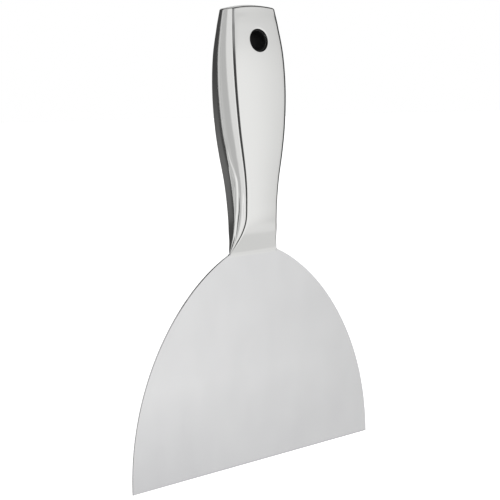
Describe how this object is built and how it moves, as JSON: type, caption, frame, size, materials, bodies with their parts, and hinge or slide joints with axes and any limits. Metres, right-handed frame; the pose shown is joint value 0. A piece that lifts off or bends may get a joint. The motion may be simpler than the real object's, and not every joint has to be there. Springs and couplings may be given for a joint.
{
  "type": "flexible putty knife",
  "caption": "Flexible putty knife: a wide taper-ground steel blade with rounded shoulders, held between two welded half-shells of a hollow steel handle with a lined hang hole.",
  "frame": {"origin": "middle of the blade's scraping edge", "axes": "+X across the blade to the right as seen from the front, +Y from the front face to the back face, +Z from the scraping edge up along the handle to the butt"},
  "size_m": [0.1524, 0.0216, 0.2278],
  "materials": {
    "blade_steel": "satin",
    "handle_steel": "fine satin",
    "sleeve_plastic": "moulded"
  },
  "bodies": {
    "root": {"blade": "blade_steel", "front_handle_shell": "handle_steel", "rear_handle_shell": "handle_steel", "hang_hole_sleeve": "sleeve_plastic"}
  },
  "joints": []
}
